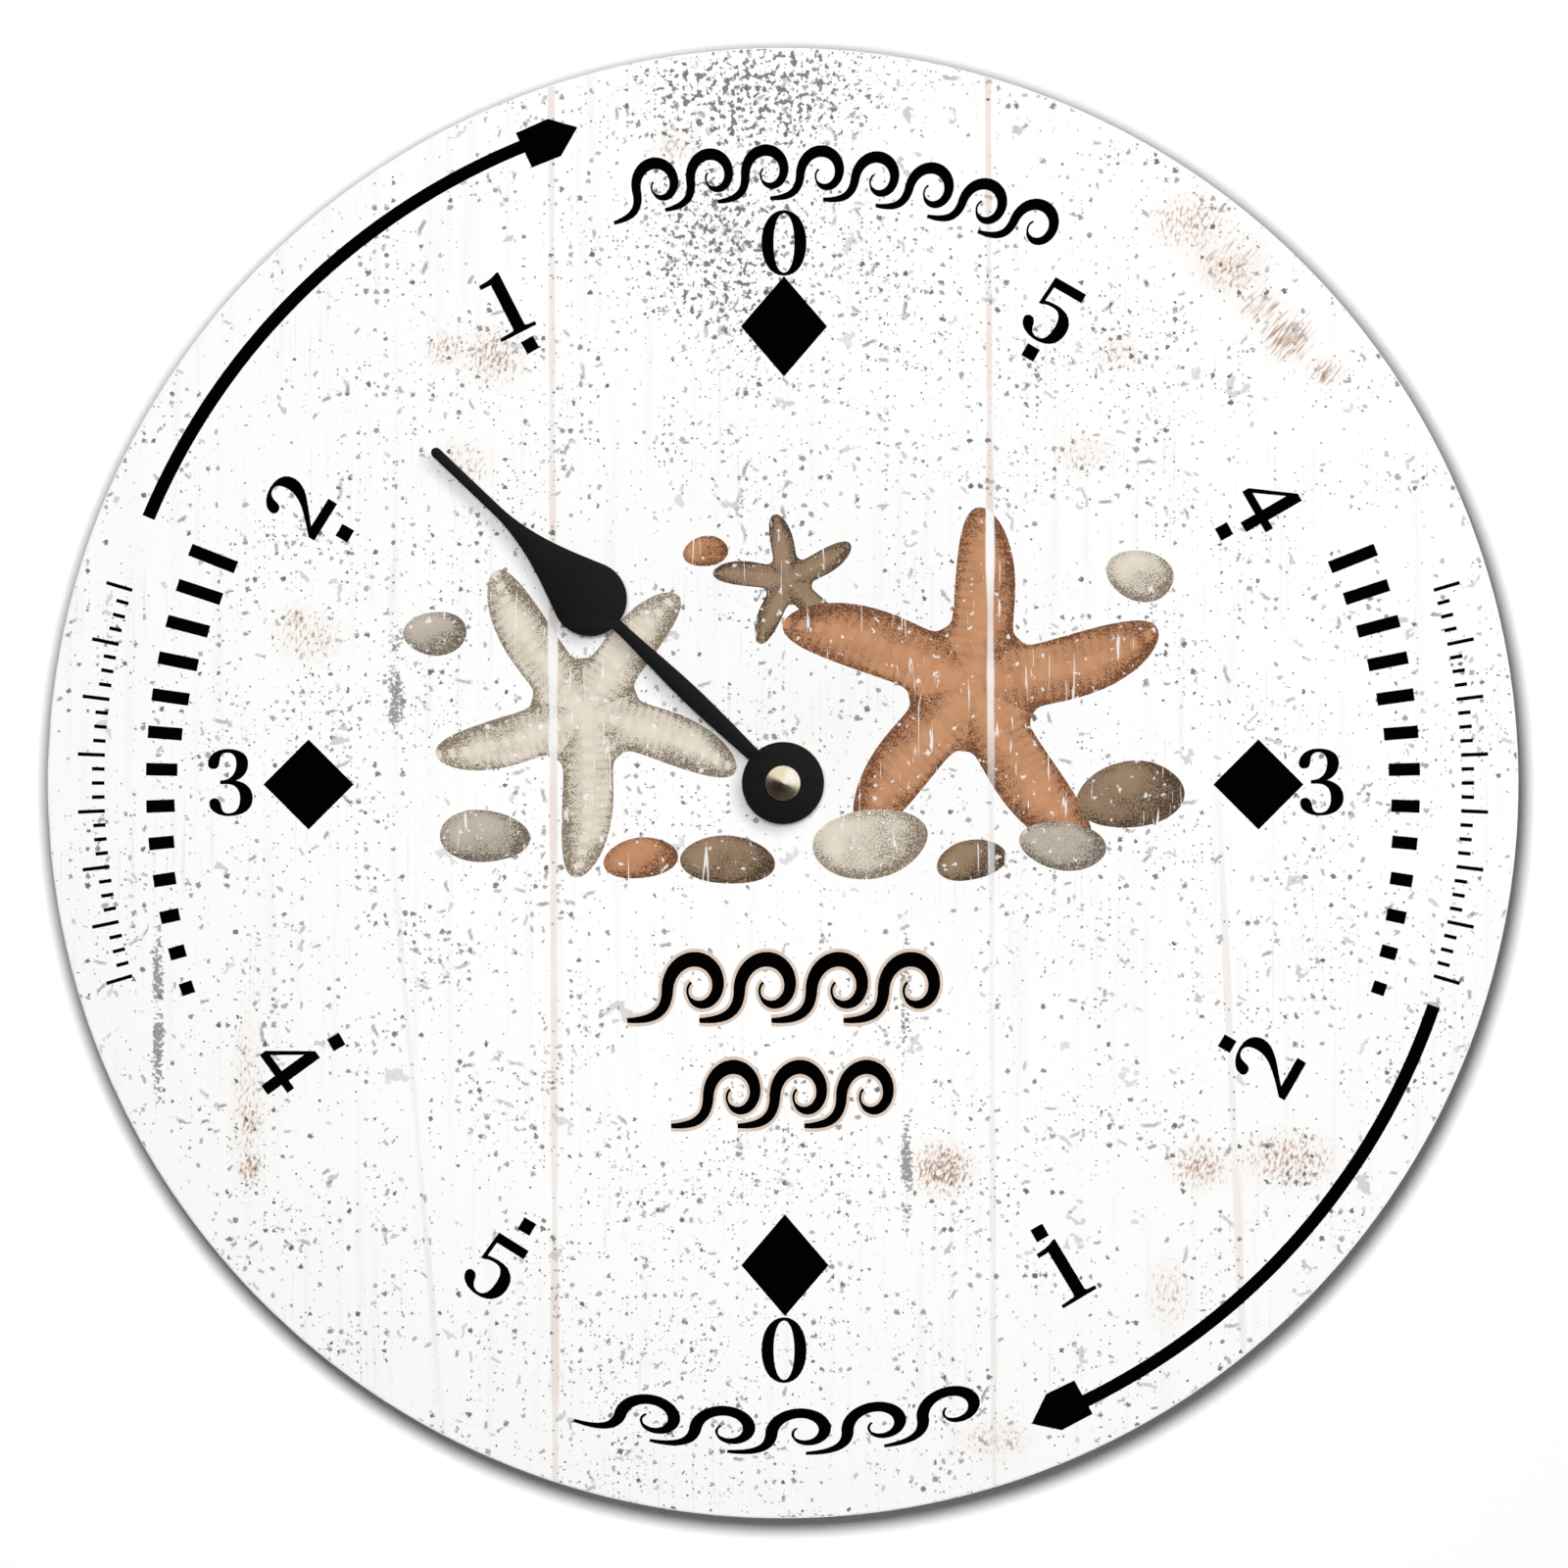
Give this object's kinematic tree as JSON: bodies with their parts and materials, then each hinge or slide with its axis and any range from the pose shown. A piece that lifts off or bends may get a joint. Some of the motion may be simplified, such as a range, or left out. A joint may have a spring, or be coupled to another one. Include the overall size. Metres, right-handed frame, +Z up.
{
  "type": "wall clock",
  "caption": "Round wall-hung tide clock: whitewashed printed wooden board, black hand with a bulb, brass cap nut, and behind it a battery quartz movement with gear train and keyhole hanger",
  "frame": {"origin": "the hand's axis where it meets the wall plane, at the back of the movement cover", "axes": "+Z up, the dial faces -Y, +X to the right of someone facing the dial, +Y into the wall"},
  "size_m": [0.3048, 0.0332, 0.3048],
  "materials": {
    "board_wood": "plain unpainted edge and back",
    "printed_face": "whitewashed print, matt",
    "hand_paint": "satin black paint over sheet aluminium",
    "collet_brass": "turned",
    "cap_brass": "polished",
    "nut_brass": "machined",
    "washer_rubber": "matt black",
    "hanger_steel": "zinc plated sheet",
    "case_plastic": "moulded black",
    "cover_plastic": "moulded black, fine texture",
    "gear_plastic": "moulded natural white",
    "arbor_brass": "turned",
    "pivot_steel": "ground",
    "clutch_brass": "spring temper",
    "magnet_grey": "sintered",
    "motor_iron": "annealed sheet",
    "coil_copper": "enamelled copper wire",
    "board_green": "lacquered green laminate",
    "chip_black": "black resin drop",
    "cell_jacket": "plain sleeve over steel can",
    "contact_steel": "nickel plated spring strip",
    "knob_plastic": "moulded black"
  },
  "bodies": {
    "clock_body": {"dial_board": "board_wood", "dial_print": "printed_face", "hex_nut": "nut_brass", "brass_washer": "nut_brass", "rubber_washer": "washer_rubber", "hanger": "hanger_steel", "threaded_bush": "nut_brass", "front_case": "case_plastic", "back_cover": "cover_plastic", "train_bridge": "gear_plastic", "stator": "motor_iron", "coil_core": "motor_iron", "coil_bobbin": "gear_plastic", "coil_winding": "coil_copper", "circuit_board": "board_green", "quartz_crystal": "pivot_steel", "chip_cap": "chip_black", "battery": "cell_jacket", "positive_contact": "contact_steel", "negative_contact": "contact_steel"},
    "hand_body": {"tide_hand": "hand_paint", "hand_collet": "collet_brass", "cap_nut": "cap_brass", "tide_wheel": "arbor_brass"},
    "minute_body": {"minute_wheel": "gear_plastic"},
    "centre_arbor_body": {"centre_arbor": "pivot_steel", "clutch_washer": "clutch_brass"},
    "knob_body": {"set_knob": "knob_plastic"},
    "centre_wheel_body": {"centre_wheel": "gear_plastic"},
    "third_body": {"third_wheel": "gear_plastic"},
    "fourth_body": {"fourth_wheel": "gear_plastic"},
    "fifth_body": {"fifth_wheel": "gear_plastic"},
    "rotor_body": {"rotor_pinion": "gear_plastic", "rotor_magnet": "magnet_grey"}
  },
  "joints": [
    {"name": "tide_hand_turn", "type": "hinge", "parent": "clock_body", "child": "hand_body", "pos_m": [0, -0.025, 0], "axis": [0, 1, 0], "continuous": true},
    {"name": "minute_turn", "type": "hinge", "parent": "clock_body", "child": "minute_body", "pos_m": [-0.00753, -0.0123, 0.00202], "axis": [0, 1, 0], "continuous": true},
    {"name": "centre_arbor_turn", "type": "hinge", "parent": "clock_body", "child": "centre_arbor_body", "pos_m": [0, -0.0101, 0], "axis": [0, 1, 0], "continuous": true},
    {"name": "set_knob_turn", "type": "hinge", "parent": "clock_body", "child": "knob_body", "pos_m": [-0.01143, -0.0045, 0.00877], "axis": [0, 1, 0], "continuous": true},
    {"name": "rotor_turn", "type": "hinge", "parent": "clock_body", "child": "rotor_body", "pos_m": [0.01286, -0.008, 0.01348], "axis": [0, 1, 0], "continuous": true},
    {"name": "fifth_turn", "type": "hinge", "parent": "clock_body", "child": "fifth_body", "pos_m": [0.01204, -0.0107, 0.00879], "axis": [0, 1, 0], "continuous": true},
    {"name": "fourth_turn", "type": "hinge", "parent": "clock_body", "child": "fourth_body", "pos_m": [0.0094, -0.0081, 0.00422], "axis": [0, 1, 0], "continuous": true},
    {"name": "third_turn", "type": "hinge", "parent": "clock_body", "child": "third_body", "pos_m": [0.00364, -0.0094, 0.00631], "axis": [0, 1, 0], "continuous": true},
    {"name": "centre_wheel_turn", "type": "hinge", "parent": "clock_body", "child": "centre_wheel_body", "pos_m": [0, -0.0108, 0], "axis": [0, 1, 0], "continuous": true}
  ],
  "couplings": [
    {"joint": "minute_turn", "follows": "tide_hand_turn", "ratio": -3.7273},
    {"joint": "centre_arbor_turn", "follows": "tide_hand_turn", "ratio": 12.424},
    {"joint": "set_knob_turn", "follows": "tide_hand_turn", "ratio": 12.424},
    {"joint": "fifth_turn", "follows": "rotor_turn", "ratio": -0.16667},
    {"joint": "fourth_turn", "follows": "rotor_turn", "ratio": 0.033333},
    {"joint": "third_turn", "follows": "rotor_turn", "ratio": -0.0044444},
    {"joint": "centre_wheel_turn", "follows": "rotor_turn", "ratio": 0.00055556}
  ]
}
